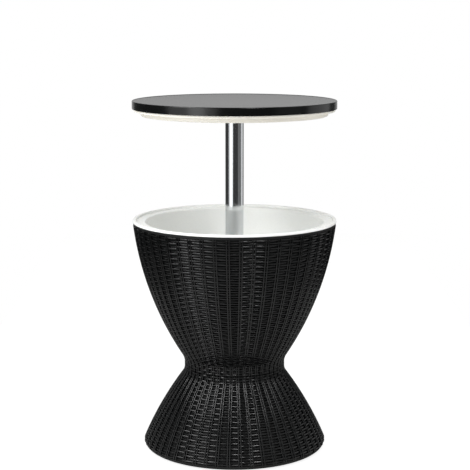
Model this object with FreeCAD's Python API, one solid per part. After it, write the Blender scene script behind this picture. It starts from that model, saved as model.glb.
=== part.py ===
import FreeCAD, Part
import math
import os

# Cooler table with lid: an hourglass body with a white tub in its upper half, and a round table top
# on a column that telescopes in a guide tube. Millimetres, Z up, the origin on the floor under the
# centre. The table top is drawn up and locked.
#
# The body's moulded weave has fifty pairs of upright ribs, so the walls of the hourglass, and of the
# tub that follows it, have a flat side from each pair to the next. The table top, the liner, the lip
# and the column are round. Hidden bars, bores and screws have fewer sides.

# Heights above the floor
table_height = 860.5
rim_height = 565.5
foot_proud = 2.0

# Sides and steps
rib_pair_count = 50
turned_sides = 18
pad_sides = 8
post_sides = 6
hexagon_sides = 6
chord_depth = 1.2
hidden_chord_depth = 2.6

# Hourglass body
rim_radius = 248.0
waist_radius = 122.8
upper_corner_height = 225.1
lower_corner_height = 192.6
upper_flare_reach = 772.0
lower_flare_reach = 846.0
upper_bend = 40.0
lower_bend = 30.0
base_radius = 222.4
base_round = 19.0
body_wall = 3.0
rim_flange_width = 6.7
seam_rise = 1.0
seam_lap = 8.0
seam_gap = 0.2
waist_flange_width = 14.0

# Tub
lip_overhang = 1.4
lip_height = 5.5
lip_bevel = 2.0
lip_land = 8.0
lip_draft = 1.5
ledge_drop = 5.0
tub_wall = 3.0
tub_inset = 30.0
tub_floor_height = 300.0
tub_floor_round = 26.0
riser_drop = 59.5
riser_radius = 31.0

# Column, guide tube and lock
tube_radius = 22.5
tube_wall = 1.5
guide_radius = 26.0
guide_wall = 1.5
guide_fit = 0.3
running_fit = 0.1
bush_share = 0.4
cap_overhang = 4.0
cap_thickness = 9.0
cap_bevel = 2.5
plug_flange = 3.0
plug_length = 24.0
spindle_radius = 5.0
spindle_length = 43.0
spindle_root = 12.0
sleeve_length = 31.0
sleeve_shoulder = 5.0
sleeve_play = 2.0
cone_tip_radius = 12.0
cone_base_radius = 19.0
cone_length = 24.0
cone_gap = 0.3
slit_width = 2.0
slit_count = 4
nut_radius = 9.0
nut_height = 7.0
end_clearance = 8.0
guide_foot_length = 30.0

# Table top and its liner
edge_height = 19.5
edge_bevel = 1.6
raised_edge = 0.8
raised_edge_width = 3.5
top_plate = 3.5
skirt_wall = 3.0
rib_thickness = 2.2
rib_height = 10.0
rib_count = 8
rib_root = 2.0
hub_pad_radius = 50.0
hub_pad_drop = 4.2
liner_wall = 3.0
liner_gap = 1.5
liner_flange_height = 6.0
liner_tuck = 5.0
liner_plug_inset = 21.5
liner_plug_depth = 11.0
liner_panel_inset = 36.5
liner_panel_rise = 4.0
closed_gap = 0.4
hub_flange_radius = 45.0
hub_flange_height = 4.0
hub_wall = 5.0
hub_depth = 35.0

# Base plate and feet
plate_thickness = 3.0
plate_radius = 200.0
plate_gap = 0.5
plate_opening = 176.0
plate_rib_height = 12.0
plate_rib_count = 8
plate_rib_radius = 172.0
cup_height = 40.0
cup_wall = 4.6
bolt_recess_radius = 14.0
bolt_recess_height = 5.0
drain_slot_radius = 110.0
drain_slot_length = 30.0
drain_slot_width = 8.0
drain_slot_count = 6
foot_circle = 160.0
foot_count = 6
foot_radius = 12.0
foot_seat = 1.0

# Drain
drain_circle = 84.0
drain_bore_radius = 12.5
drain_neck_wall = 3.0
drain_neck_drop = 18.0
seal_height = 2.0
seal_width = 3.0
drain_head_radius = 19.5
drain_head_height = 5.0
drain_stem_length = 14.0
grip_height = 11.0
grip_width = 7.0

# Screws and bosses
screw_radius = 2.0
screw_head_radius = 3.8
screw_head_height = 2.2
screw_clearance = 0.3
pilot_gap = 0.05
boss_radius = 5.5
lid_screw_inset = 21.5
lid_screw_count = 4
lid_screw_length = 15.0
hub_screw_circle = 37.0
hub_screw_count = 4
hub_screw_length = 9.0
column_screw_drop = 9.0
column_screw_count = 2
column_screw_angle = 90.0
base_screw_circle = 189.0
base_screw_count = 4
base_screw_length = 14.0
base_recess_radius = 4.4
base_recess_depth = 1.5
base_boss_height = 18.0
foot_bolt_radius = 4.0
foot_bolt_head_radius = 8.0
foot_bolt_head_height = 4.0
foot_bolt_length = 26.0

UP = FreeCAD.Vector(0, 0, 1)
ALONG_Y = FreeCAD.Vector(0, 1, 0)
CENTRE = FreeCAD.Vector(0, 0, 0)

# Levels and radii that follow from the sizes above
table_under = table_height - edge_height
top_surface = table_height - raised_edge
plate_under = top_surface - top_plate
pad_under = plate_under - hub_pad_drop
top_radius = rim_radius
liner_radius = top_radius - skirt_wall - liner_gap
liner_plug_radius = top_radius - liner_plug_inset
liner_panel_radius = liner_plug_radius - liner_panel_inset
lid_screw_circle = liner_plug_radius - lid_screw_inset
liner_top = table_under + liner_tuck
liner_flange_under = table_under - liner_flange_height
liner_under = liner_flange_under - liner_plug_depth
liner_panel_under = liner_under + liner_panel_rise
lid_seat = liner_under + liner_wall
hub_under = pad_under - hub_flange_height
hub_low = hub_under - hub_depth
hub_radius = tube_radius + running_fit + hub_wall
tube_bore = tube_radius - tube_wall
lip_top = rim_height + lip_height
lip_radius = rim_radius + lip_overhang
land_radius = lip_radius - lip_land
ledge_height = lip_top - ledge_drop
ledge_under = ledge_height - tub_wall
mouth_radius = rim_radius - rim_flange_width
neck_radius = mouth_radius - seam_gap
tub_under = tub_floor_height - tub_wall
riser_height = rim_height - riser_drop
guide_bore = guide_radius - guide_wall
riser_bore = guide_radius + guide_fit
base_bottom = foot_proud
plate_top = base_bottom + plate_thickness
flange_top = plate_top + body_wall
bolt_seat = plate_top + bolt_recess_height
base_screw_seat = base_bottom + base_recess_depth
guide_bottom = bolt_seat + plate_thickness
guide_foot_top = guide_bottom + guide_foot_length
travel = liner_under - ledge_height - closed_gap
spindle_bottom = guide_foot_top + end_clearance + travel
plug_under = spindle_bottom + spindle_length
tube_bottom = plug_under + plug_flange
bush_low = riser_height - bush_share * (riser_height - tube_bottom)
sleeve_top = plug_under - sleeve_play
sleeve_bottom = sleeve_top - sleeve_length
cone_bottom = sleeve_bottom + sleeve_shoulder
cone_top = cone_bottom + cone_length
drain_spot = FreeCAD.Vector(0, drain_circle, 0)


class Flare:
    """One half of the hourglass: a long arc that runs tangent into the bend at the waist.

    Inset measures inwards from the outer surface, so every wall keeps its thickness.
    """

    def __init__(self, centre, reach, bend, rises):
        self.centre = centre
        self.reach = reach
        self.bend = bend
        side = waist_radius + bend - centre[0]
        climb = math.sqrt((reach + bend) ** 2 - side ** 2)
        self.bend_centre = (waist_radius + bend, centre[1] - rises * climb)

    def point_at(self, height, inset=0.0):
        """The point of the long arc at a height."""
        climb = height - self.centre[1]
        return self.centre[0] + math.sqrt((self.reach - inset) ** 2 - climb ** 2), height

    def joint(self, inset=0.0):
        """The point where the long arc meets the bend."""
        share = (self.reach - inset) / (self.reach + self.bend)
        radius = self.centre[0] + share * (self.bend_centre[0] - self.centre[0])
        height = self.centre[1] + share * (self.bend_centre[1] - self.centre[1])
        return radius, height

    def waist(self, inset=0.0):
        """Rings from the start of the bend at the waist to the long arc."""
        start = (waist_radius - inset, self.bend_centre[1])
        return [start] + along(self.bend_centre, start, self.joint(inset), chord_depth)


def meet(first, first_reach, second, second_reach):
    """The point at the given reaches from two points, on the side nearer the axis."""
    gap_radius = second[0] - first[0]
    gap_height = second[1] - first[1]
    gap = math.hypot(gap_radius, gap_height)
    near = (first_reach ** 2 - second_reach ** 2 + gap ** 2) / (2 * gap)
    across = math.sqrt(first_reach ** 2 - near ** 2)
    foot = (first[0] + near * gap_radius / gap, first[1] + near * gap_height / gap)
    sides = []
    for turn in (1, -1):
        radius = foot[0] - turn * across * gap_height / gap
        height = foot[1] + turn * across * gap_radius / gap
        sides.append((radius, height))
    return min(sides)


def along(centre, start, end, depth):
    """Rings on the curve round a centre from start to end, the short way, without the start.

    The steps are as long as they can be with no chord deeper than the given depth.
    """
    first = math.atan2(start[1] - centre[1], start[0] - centre[0])
    last = math.atan2(end[1] - centre[1], end[0] - centre[0])
    turn = (last - first + math.pi) % (2 * math.pi) - math.pi
    reach = math.dist(centre, start)
    change = math.dist(centre, end) - reach
    steps = math.ceil(abs(turn) / (2 * math.acos(1 - depth / reach)))
    rings = []
    for step in range(1, steps + 1):
        share = step / steps
        angle = first + share * turn
        out = reach + share * change
        rings.append((centre[0] + out * math.cos(angle), centre[1] + out * math.sin(angle)))
    return rings


base_round_centre = (base_radius - base_round, base_bottom + base_round)
upper_flare = Flare(
    meet((rim_radius, rim_height), upper_flare_reach,
         (waist_radius, upper_corner_height), upper_flare_reach),
    upper_flare_reach, upper_bend, 1)
lower_flare = Flare(
    meet((waist_radius, lower_corner_height), lower_flare_reach,
         base_round_centre, lower_flare_reach - base_round),
    lower_flare_reach, lower_bend, -1)
seam_height = lower_flare.bend_centre[1] + seam_rise
collar_top = seam_height + seam_lap
waist_flange_top = collar_top + body_wall


# Basic shapes

def corner_at(radius, height, side, sides):
    """A corner of a level ring, measured from the axis."""
    angle = 2 * math.pi * (side % sides) / sides
    return FreeCAD.Vector(radius * math.cos(angle), radius * math.sin(angle), height)


def flat(corners):
    """A flat face with the given corners."""
    return Part.Face(Part.makePolygon(corners + corners[:1]))


def sided(sides, rings):
    """A solid with flat sides through level rings, each the radius to its corners and its height."""
    faces = []
    for radius, height in (rings[0], rings[-1]):
        faces.append(flat([corner_at(radius, height, side, sides) for side in range(sides)]))
    for low, high in zip(rings, rings[1:]):
        for side in range(sides):
            faces.append(flat([corner_at(*low, side, sides), corner_at(*low, side + 1, sides),
                               corner_at(*high, side + 1, sides), corner_at(*high, side, sides)]))
    solid = Part.makeSolid(Part.makeShell(faces))
    return solid if solid.Volume > 0 else solid.reversed()


def turned(*corners):
    """A round piece from the corners of its half section, each a radius and a height."""
    points = [FreeCAD.Vector(radius, 0, height) for radius, height in corners]
    return flat(points).revolve(CENTRE, UP, 360)


def disc(radius, low, high):
    """A round plate or bar on the axis."""
    return Part.makeCylinder(radius, high - low, FreeCAD.Vector(0, 0, low), UP)


def ribbed(radius, low, high):
    """A plate or space on the axis with a flat side for each pair of ribs."""
    return sided(rib_pair_count, [(radius, low), (radius, high)])


def plain(radius, low, high):
    """A hidden plate, bar or space on the axis."""
    return sided(turned_sides, [(radius, low), (radius, high)])


def bore(radius, low, high):
    """The space of a bore on the axis, with room for a round bar of that radius."""
    return plain(radius / math.cos(math.pi / turned_sides), low, high)


def post(circle, radius, low, high, sides=post_sides):
    """A small post that stands off the axis, on +X."""
    shape = sided(sides, [(radius, low), (radius, high)])
    shape.translate(FreeCAD.Vector(circle, 0, 0))
    return shape


def bar(length_from, length_to, width, low, high):
    """A straight radial bar along +X."""
    corner = FreeCAD.Vector(length_from, -width / 2, low)
    return Part.makeBox(length_to - length_from, width, high - low, corner)


def around(shape, count, first_angle=0.0):
    """Copies of a shape, evenly spaced round the axis."""
    copies = []
    for number in range(count):
        copy = shape.copy()
        copy.rotate(CENTRE, UP, first_angle + 360.0 * number / count)
        copies.append(copy)
    return copies


def joined(base, *additions):
    """One solid from a base and what stands on it."""
    return base.multiFuse(additions).removeSplitter()


def cleared(shape, *spaces):
    """A shape without the given spaces."""
    for space in spaces:
        shape = shape.cut(space)
    return shape


def screw(circle, seat, length):
    """A screw that points up: its head is under the seat and its shank above it."""
    head = post(circle, screw_head_radius, seat - screw_head_height, seat)
    return joined(head, post(circle, screw_radius, seat, seat + length))


def screw_ring(circle, seat, length, count):
    """A ring of screws that point up."""
    return Part.makeCompound(around(screw(circle, seat, length), count))


# Body shells

def upper_half(inset, low, high, depth):
    """The space inside the upper half of the hourglass, between two levels."""
    rings = [(waist_radius - inset, low)] + upper_flare.waist(inset)
    rim = upper_flare.point_at(high, inset)
    return sided(rib_pair_count, rings + along(upper_flare.centre, rings[-1], rim, depth))


def lower_half(inset, high, depth):
    """The space inside the lower half of the hourglass, down to its rounded bottom edge."""
    rings = [(waist_radius - inset, high)] + lower_flare.waist(inset)
    across = base_round_centre[0] - lower_flare.centre[0]
    down = base_round_centre[1] - lower_flare.centre[1]
    share = (lower_flare.reach - inset) / math.hypot(across, down)
    touch = (lower_flare.centre[0] + share * across, lower_flare.centre[1] + share * down)
    bottom = (base_round_centre[0], base_bottom + inset)
    rings += along(lower_flare.centre, rings[-1], touch, depth)
    return sided(rib_pair_count, rings + along(base_round_centre, touch, bottom, depth))


def make_upper_body():
    """Black upper half: bowl wall, inward rim flange, and a flange at the waist."""
    rim_under = rim_height - body_wall
    body = upper_half(0, seam_height, rim_height, chord_depth)
    hollow = upper_half(body_wall, seam_height, rim_under, hidden_chord_depth)
    flange = ribbed(rim_radius, collar_top, waist_flange_top)
    opening = plain(waist_radius - body_wall - waist_flange_width, collar_top, waist_flange_top)
    return cleared(body, hollow.cut(flange.cut(opening)),
                   ribbed(mouth_radius, rim_under, rim_height))


def make_lower_body():
    """Black lower half: flared skirt, collar that laps into the upper half, and base flange."""
    collar_radius = waist_radius - body_wall - seam_gap
    boss_top = flange_top + base_boss_height
    body = joined(lower_half(0, seam_height, chord_depth),
                  ribbed(collar_radius, seam_height, collar_top))
    collar_foot = seam_height - body_wall
    hollow = cleared(lower_half(body_wall, seam_height, hidden_chord_depth),
                     ribbed(base_radius, base_bottom, flange_top),
                     ribbed(waist_radius, collar_foot, seam_height))
    body = cleared(body, hollow, ribbed(collar_radius - body_wall, collar_foot, collar_top))
    boss = post(base_screw_circle, boss_radius, flange_top, boss_top)
    gusset = bar(base_screw_circle, base_round_centre[0], rib_thickness, flange_top, boss_top)
    body = joined(body, *around(joined(boss, gusset), base_screw_count))
    pilot = post(base_screw_circle, screw_radius + pilot_gap, plate_top, boss_top)
    return cleared(body,
                   plain(plate_opening, base_bottom, flange_top),
                   plain(plate_radius + plate_gap, base_bottom, plate_top),
                   *around(pilot, base_screw_count))


def make_base_plate():
    """Ribbed plate that closes the base, with the cup that the guide tube stands in."""
    cup_radius = riser_bore + cup_wall
    cup_top = guide_bottom + cup_height
    rib = bar(cup_radius - cup_wall, plate_rib_radius, rib_thickness, base_bottom,
              plate_top + plate_rib_height)
    plate = joined(plain(plate_radius, base_bottom, plate_top),
                   plain(cup_radius, base_bottom, cup_top),
                   *around(rib, plate_rib_count, 180.0 / plate_rib_count))
    slot = bar(drain_slot_radius, drain_slot_radius + drain_slot_length, drain_slot_width,
               base_bottom, plate_top)
    hole = post(base_screw_circle, screw_radius + screw_clearance, base_bottom, plate_top)
    recess = post(base_screw_circle, base_recess_radius, base_bottom, base_screw_seat)
    seat = post(foot_circle, foot_radius, base_bottom, base_bottom + foot_seat, pad_sides)
    return cleared(plate,
                   bore(riser_bore, guide_bottom, cup_top),
                   plain(bolt_recess_radius, base_bottom, bolt_seat),
                   plain(foot_bolt_radius + screw_clearance, bolt_seat, guide_bottom),
                   *around(slot, drain_slot_count),
                   *around(hole, base_screw_count),
                   *around(recess, base_screw_count),
                   *around(seat, foot_count))


def make_foot_pads():
    """Rubber pads that the table stands on, let into the base plate."""
    pad = post(foot_circle, foot_radius, 0, base_bottom + foot_seat, pad_sides)
    return Part.makeCompound(around(pad, foot_count))


# Tub

def tub_space(inset, floor, top):
    """The space inside a tub wall that follows the hourglass down to a rounded floor edge."""
    corner = tub_floor_height + tub_floor_round
    floor_edge = upper_flare.point_at(corner, tub_inset)[0] - tub_floor_round
    wall_foot = upper_flare.point_at(corner, inset)
    rings = [(floor_edge, floor)]
    rings += along((floor_edge, corner), rings[0], wall_foot, chord_depth)
    rings += along(upper_flare.centre, wall_foot, upper_flare.point_at(top, inset), chord_depth)
    return sided(rib_pair_count, rings)


def make_ice_bucket():
    """White tub: lip, ledge for the lid, tapering wall, floor, central riser and drain neck."""
    neck_low = tub_floor_height - drain_neck_drop
    lip = turned((0, rim_height), (lip_radius, rim_height), (lip_radius, lip_top - lip_bevel),
                 (lip_radius - lip_bevel, lip_top), (0, lip_top))
    step = sided(rib_pair_count, [(land_radius - lip_draft, ledge_height), (land_radius, lip_top)])
    drain_neck = plain(drain_bore_radius + drain_neck_wall, neck_low, tub_under)
    drain_bore = bore(drain_bore_radius, neck_low, tub_floor_height)
    drain_neck.translate(drain_spot)
    drain_bore.translate(drain_spot)
    tub = joined(tub_space(tub_inset - tub_wall, tub_under, ledge_under),
                 ribbed(neck_radius, ledge_under, rim_height), lip, drain_neck)
    hollow = tub_space(tub_inset, tub_floor_height, ledge_height)
    hollow = hollow.cut(plain(riser_radius, tub_floor_height, riser_height))
    return cleared(tub, hollow, step, drain_bore, bore(riser_bore, tub_under, riser_height))


def make_drain_seal():
    """Rubber ring between the drain plug's head and the tub's floor."""
    low = tub_floor_height
    high = low + seal_height
    seal = plain(drain_bore_radius + seal_width, low, high).cut(bore(drain_bore_radius, low, high))
    seal.translate(drain_spot)
    return seal


def make_drain_plug():
    """Screw plug: hollow stem in the tub's drain neck, round head, grip bar on top."""
    head_low = tub_floor_height + seal_height
    head_top = head_low + drain_head_height
    stem_low = head_low - drain_stem_length
    stem_radius = drain_bore_radius - running_fit
    plug = joined(plain(drain_head_radius, head_low, head_top),
                  plain(stem_radius, stem_low, head_low),
                  bar(-stem_radius, stem_radius, grip_width, head_top, head_top + grip_height))
    plug = plug.cut(plain(stem_radius - drain_neck_wall, stem_low, head_low))
    plug.translate(drain_spot)
    return plug


# Guide tube and what closes it

def make_guide_tube():
    """Fixed outer tube from the base plate's cup up through the riser."""
    return plain(guide_radius, guide_bottom, riser_height).cut(
        plain(guide_bore, guide_bottom, riser_height))


def make_guide_foot():
    """Plug in the guide tube's lower end, tapped for the foot bolt."""
    plug = plain(guide_bore - running_fit, guide_bottom, guide_foot_top)
    return plug.cut(plain(foot_bolt_radius + pilot_gap, guide_bottom, guide_foot_top))


def make_foot_bolt():
    """Hexagon bolt, up through the base plate into the guide foot."""
    head = sided(hexagon_sides, [(foot_bolt_head_radius, bolt_seat - foot_bolt_head_height),
                                 (foot_bolt_head_radius, bolt_seat)])
    return joined(head, plain(foot_bolt_radius, bolt_seat, bolt_seat + foot_bolt_length))


def make_guide_bush():
    """White nylon bush in the guide tube's mouth; its broad head caps the riser."""
    cap_radius = riser_radius + cap_overhang
    cap_top = riser_height + cap_thickness
    cap = sided(turned_sides, [(cap_radius, riser_height), (cap_radius, cap_top - cap_bevel),
                               (cap_radius - cap_bevel, cap_top)])
    bush = joined(cap, plain(guide_bore - running_fit, bush_low, riser_height))
    return bush.cut(bore(tube_radius + running_fit, bush_low, cap_top))


# Column and its lock

def column_bores(radius):
    """Radial bores for the screws that hold the column in its socket."""
    hole = sided(post_sides, [(radius, tube_bore), (radius, hub_radius)])
    hole.rotate(CENTRE, ALONG_Y, 90)
    hole.translate(FreeCAD.Vector(0, 0, hub_under - column_screw_drop))
    return around(hole, column_screw_count, column_screw_angle)


def make_column_screws():
    """Radial screws through socket and column."""
    head = sided(post_sides, [(screw_head_radius, hub_radius),
                              (screw_head_radius, hub_radius + screw_head_height)])
    head.rotate(CENTRE, ALONG_Y, 90)
    head.translate(FreeCAD.Vector(0, 0, hub_under - column_screw_drop))
    heads = around(head, column_screw_count, column_screw_angle)
    shanks = column_bores(screw_radius)
    return Part.makeCompound([joined(shank, cap) for shank, cap in zip(shanks, heads)])


def make_upper_tube():
    """The bright column, with holes for its cross screws."""
    tube = disc(tube_radius, tube_bottom, hub_under)
    return cleared(tube, disc(tube_bore, tube_bottom, hub_under),
                   *column_bores(screw_radius + pilot_gap))


def make_tube_plug():
    """Plug pressed into the column's lower end, with a flange under the tube wall."""
    body = plain(tube_bore - running_fit, tube_bottom, tube_bottom + plug_length)
    plug = joined(body, plain(tube_radius - running_fit, plug_under, tube_bottom))
    return plug.cut(plain(spindle_radius + pilot_gap, plug_under, tube_bottom + spindle_root))


def make_lock_spindle():
    """Rod that hangs under the plug and carries cone and nut."""
    return plain(spindle_radius, spindle_bottom, tube_bottom + spindle_root)


def make_lock_cone():
    """Cone that spreads the sleeve, fixed on the spindle with its wide end up."""
    cone = sided(turned_sides, [(cone_tip_radius, cone_bottom), (cone_base_radius, cone_top)])
    return cone.cut(plain(spindle_radius + pilot_gap, cone_bottom, cone_top))


def make_spindle_nut():
    """Hexagon nut on the spindle, under the sleeve."""
    top = sleeve_bottom - cone_gap
    nut = sided(hexagon_sides, [(nut_radius, top - nut_height), (nut_radius, top)])
    return nut.cut(plain(spindle_radius + pilot_gap, top - nut_height, top))


def make_lock_sleeve():
    """Nylon sleeve, slit from the top, that the cone spreads against the guide tube."""
    widening = 1 / math.cos(math.pi / turned_sides)
    tip_room = (cone_tip_radius + cone_gap) * widening
    base_room = (cone_base_radius + cone_gap) * widening
    room_low = cone_bottom - cone_gap
    room = sided(turned_sides, [(tip_room, room_low), (base_room, cone_top),
                                (base_room, sleeve_top)])
    slit = bar(spindle_radius + cone_gap, guide_radius, slit_width, cone_bottom, sleeve_top)
    return cleared(plain(guide_bore - running_fit, sleeve_bottom, sleeve_top), room,
                   bore(spindle_radius + cone_gap, sleeve_bottom, room_low),
                   *around(slit, slit_count))


# Table top

def make_table_top():
    """Black disc: raised edge, skirt, radial ribs, hub pad and screw bosses."""
    raised_inside = top_radius - raised_edge_width
    inside = top_radius - skirt_wall
    top = turned((0, table_under), (top_radius, table_under),
                 (top_radius, table_height - edge_bevel), (top_radius - edge_bevel, table_height),
                 (raised_inside, table_height), (raised_inside - raised_edge, top_surface),
                 (0, top_surface))
    top = top.cut(ribbed(inside, table_under, plate_under))
    rib = bar(hub_pad_radius - rib_root, inside, rib_thickness, plate_under - rib_height,
              plate_under)
    boss = post(lid_screw_circle, boss_radius, lid_seat, plate_under)
    top = joined(top, plain(hub_pad_radius, pad_under, plate_under),
                 *around(rib, rib_count, 180.0 / rib_count), *around(boss, lid_screw_count))
    lid_pilot = post(lid_screw_circle, screw_radius + pilot_gap, lid_seat,
                     lid_seat + lid_screw_length)
    hub_pilot = post(hub_screw_circle, screw_radius + pilot_gap, pad_under,
                     hub_under + hub_screw_length)
    return cleared(top, *around(lid_pilot, lid_screw_count), *around(hub_pilot, hub_screw_count))


def make_lid_liner():
    """White tray under the table top: tucked-in flange, plug step and raised panel."""
    panel_top = liner_panel_under + liner_wall
    room = hub_radius + screw_clearance
    liner = joined(disc(liner_radius, liner_flange_under, liner_top),
                   disc(liner_plug_radius, liner_under, liner_flange_under))
    inside = plain(liner_plug_radius - liner_wall, lid_seat, liner_top)
    inside = inside.cut(bore(liner_panel_radius + liner_wall, lid_seat, panel_top))
    hole = post(lid_screw_circle, screw_radius + screw_clearance, liner_under, lid_seat)
    return cleared(liner, inside,
                   ribbed(liner_panel_radius, liner_under, liner_panel_under),
                   bore(room, liner_under, panel_top), *around(hole, lid_screw_count))


def make_top_hub():
    """Flange under the table top's pad, with the socket that the column stands in."""
    hub = joined(plain(hub_flange_radius, hub_under, pad_under),
                 plain(hub_radius, hub_low, hub_under))
    hole = post(hub_screw_circle, screw_radius + screw_clearance, hub_under, pad_under)
    return cleared(hub, bore(tube_radius + running_fit, hub_low, hub_under),
                   *around(hole, hub_screw_count), *column_bores(screw_radius + pilot_gap))


PIECES = {
    "table_top": make_table_top,
    "lid_liner": make_lid_liner,
    "lid_screws": lambda: screw_ring(lid_screw_circle, liner_under, lid_screw_length,
                                     lid_screw_count),
    "top_hub": make_top_hub,
    "hub_screws": lambda: screw_ring(hub_screw_circle, hub_under, hub_screw_length, hub_screw_count),
    "column_screws": make_column_screws,
    "upper_tube": make_upper_tube,
    "tube_plug": make_tube_plug,
    "lock_spindle": make_lock_spindle,
    "lock_cone": make_lock_cone,
    "spindle_nut": make_spindle_nut,
    "lock_sleeve": make_lock_sleeve,
    "guide_tube": make_guide_tube,
    "guide_foot": make_guide_foot,
    "foot_bolt": make_foot_bolt,
    "guide_bush": make_guide_bush,
    "ice_bucket": make_ice_bucket,
    "drain_seal": make_drain_seal,
    "drain_plug": make_drain_plug,
    "upper_body": make_upper_body,
    "lower_body": make_lower_body,
    "base_plate": make_base_plate,
    "base_screws": lambda: screw_ring(base_screw_circle, base_screw_seat, base_screw_length,
                                      base_screw_count),
    "foot_pads": make_foot_pads,
}


def main():
    """Build each piece and write it to its own file."""
    os.makedirs("parts", exist_ok=True)
    for name, make in PIECES.items():
        shape = make()
        shape.exportStep("parts/" + name + ".step")
        print(name, len(shape.Solids), "solids", shape.isValid(), round(shape.Volume / 1000, 2), "cm3")
    print("travel of the table top", round(travel, 2), "mm")


main()
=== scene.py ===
import logging
import math
from collections.abc import Iterable, Sequence
from dataclasses import dataclass, field
from enum import Enum
from typing import Any

import bmesh
import bpy
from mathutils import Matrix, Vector


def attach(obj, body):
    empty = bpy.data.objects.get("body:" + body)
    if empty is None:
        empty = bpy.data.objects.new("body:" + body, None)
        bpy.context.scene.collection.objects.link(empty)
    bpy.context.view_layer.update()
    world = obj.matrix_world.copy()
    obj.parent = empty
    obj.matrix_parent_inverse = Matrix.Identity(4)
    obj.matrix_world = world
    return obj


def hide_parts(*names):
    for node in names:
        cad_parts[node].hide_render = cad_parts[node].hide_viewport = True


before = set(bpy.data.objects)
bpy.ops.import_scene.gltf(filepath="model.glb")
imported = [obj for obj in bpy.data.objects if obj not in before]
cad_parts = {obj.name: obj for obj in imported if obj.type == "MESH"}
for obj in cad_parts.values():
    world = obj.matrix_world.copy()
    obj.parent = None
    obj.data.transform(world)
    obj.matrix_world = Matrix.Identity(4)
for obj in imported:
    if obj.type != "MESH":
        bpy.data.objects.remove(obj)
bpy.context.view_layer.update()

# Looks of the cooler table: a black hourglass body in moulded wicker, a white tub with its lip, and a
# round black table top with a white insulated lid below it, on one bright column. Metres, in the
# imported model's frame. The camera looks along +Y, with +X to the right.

MM = 0.001
TURN = 2 * math.pi
FINE_TURN = 192
SMALL_TURN = 64
TINY = 1e-9
HALVINGS = 40
SHARP_ANGLE = math.radians(38)
MIX_FLOAT_A, MIX_FLOAT_B = 2, 3
MIX_COLOUR_A, MIX_COLOUR_B, MIX_COLOUR_OUT = 6, 7, 2
log = logging.getLogger("cooler_table")

Point = tuple[float, float]
Triple = tuple[float, float, float]
Corner = Triple
Tube = tuple[list[Triple], list[list[int]]]
Spot = tuple[float, float]
Inputs = dict[str | int, Any]
AXIS: Spot = (0.0, 0.0)
WHITE = (1.0, 1.0, 1.0, 1.0)


class Body(Enum):
    """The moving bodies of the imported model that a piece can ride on."""

    COOLER = "cooler_body"
    TABLE = "table_column"
    DRAIN_RING = "drain_ring"
    DRAIN_SCREW = "drain_screw"


# Colours and finishes

def linear(hex_colour: str) -> tuple[float, float, float, float]:
    """Turns an sRGB hex value into Blender's linear colour.

    Args:
        hex_colour: Six hexadecimal digits, red first.

    Returns:
        Red, green, blue and an alpha of one.
    """
    channels = []
    for start in (0, 2, 4):
        value = int(hex_colour[start:start + 2], 16) / 255
        channels.append(value / 12.92 if value <= 0.04045 else ((value + 0.055) / 1.055) ** 2.4)
    return channels[0], channels[1], channels[2], 1.0


def feed(tree: bpy.types.NodeTree, node: bpy.types.Node, inputs: Inputs) -> None:
    """Gives a node's inputs their values and links.

    Args:
        tree: The node tree that holds the node.
        node: The node.
        inputs: Values or output sockets, by the inputs' names or numbers.
    """
    for key, value in inputs.items():
        if isinstance(value, bpy.types.NodeSocket):
            tree.links.new(value, node.inputs[key])
        else:
            node.inputs[key].default_value = value


def add_node(tree: bpy.types.NodeTree, kind: str, inputs: Inputs | None = None,
             **settings: Any) -> bpy.types.Node:
    """Adds a shader node with its settings, values and links.

    Args:
        tree: The node tree that gets the node.
        kind: The node's Blender type.
        inputs: Values or output sockets, by the inputs' names or numbers.
        settings: The node's own properties.

    Returns:
        The new node.
    """
    node = tree.nodes.new(kind)
    for name, value in settings.items():
        setattr(node, name, value)
    feed(tree, node, inputs or {})
    return node


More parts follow.
